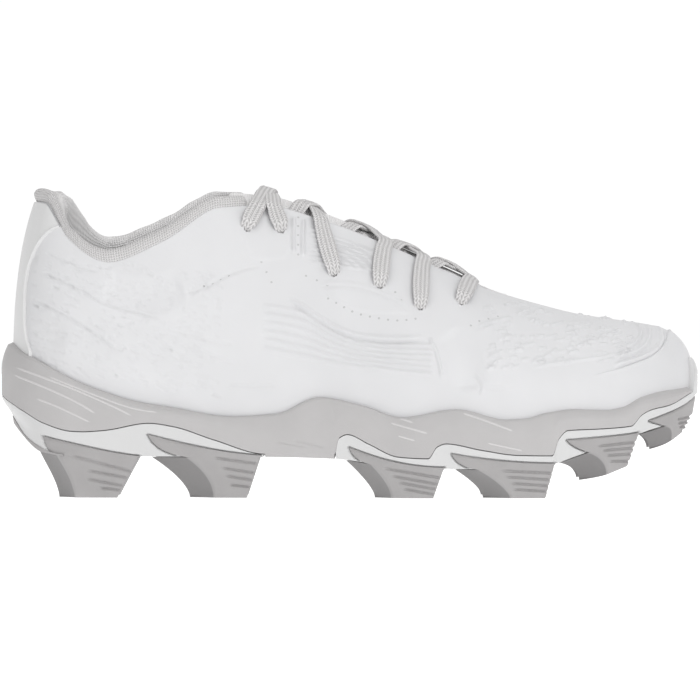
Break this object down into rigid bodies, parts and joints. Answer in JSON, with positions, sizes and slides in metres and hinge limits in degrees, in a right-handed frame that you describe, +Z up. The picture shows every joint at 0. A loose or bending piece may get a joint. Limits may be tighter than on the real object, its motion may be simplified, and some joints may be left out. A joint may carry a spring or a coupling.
{
  "type": "softball cleat",
  "caption": "Low softball cleat for the right foot: white synthetic upper, grey padded collar, flat laces, grey foam midsole, white outsole plates and ribbed moulded studs.",
  "frame": {"origin": "centre of the bounding box at the floor that the studs stand on", "axes": "+X towards the toe, +Y towards the medial side of the right foot, +Z up"},
  "size_m": [0.2786, 0.0951, 0.1237],
  "materials": {
    "white_synthetic": "matte embossed synthetic",
    "white_moulded": "satin moulded",
    "grey_knit": "matte padded textile",
    "grey_foam": "matte moulded foam",
    "grey_rubber": "matte moulded rubber",
    "grey_lace": "flat woven lace"
  },
  "bodies": {
    "root": {"upper": "white_synthetic", "heel_counter": "white_moulded", "toe_cap": "white_moulded", "collar_lining": "grey_knit", "tongue": "grey_knit", "insole": "grey_knit", "midsole": "grey_foam", "outsole_heel": "white_moulded", "outsole_forefoot": "white_moulded", "stud_heel_rear_lateral": "grey_rubber", "stud_heel_front_lateral": "grey_rubber", "stud_ball_rear_lateral": "grey_rubber", "stud_ball_front_lateral": "grey_rubber", "stud_toe_rear_lateral": "grey_rubber", "stud_toe_front_lateral": "grey_rubber", "stud_heel_rear_medial": "grey_rubber", "stud_heel_front_medial": "grey_rubber", "stud_ball_rear_medial": "grey_rubber", "stud_ball_front_medial": "grey_rubber", "stud_toe_rear_medial": "grey_rubber", "stud_toe_front_medial": "grey_rubber", "lace_crossing_1": "grey_lace", "lace_crossing_2": "grey_lace", "lace_crossing_3": "grey_lace", "lace_crossing_4": "grey_lace", "lace_crossing_5": "grey_lace"}
  },
  "joints": []
}
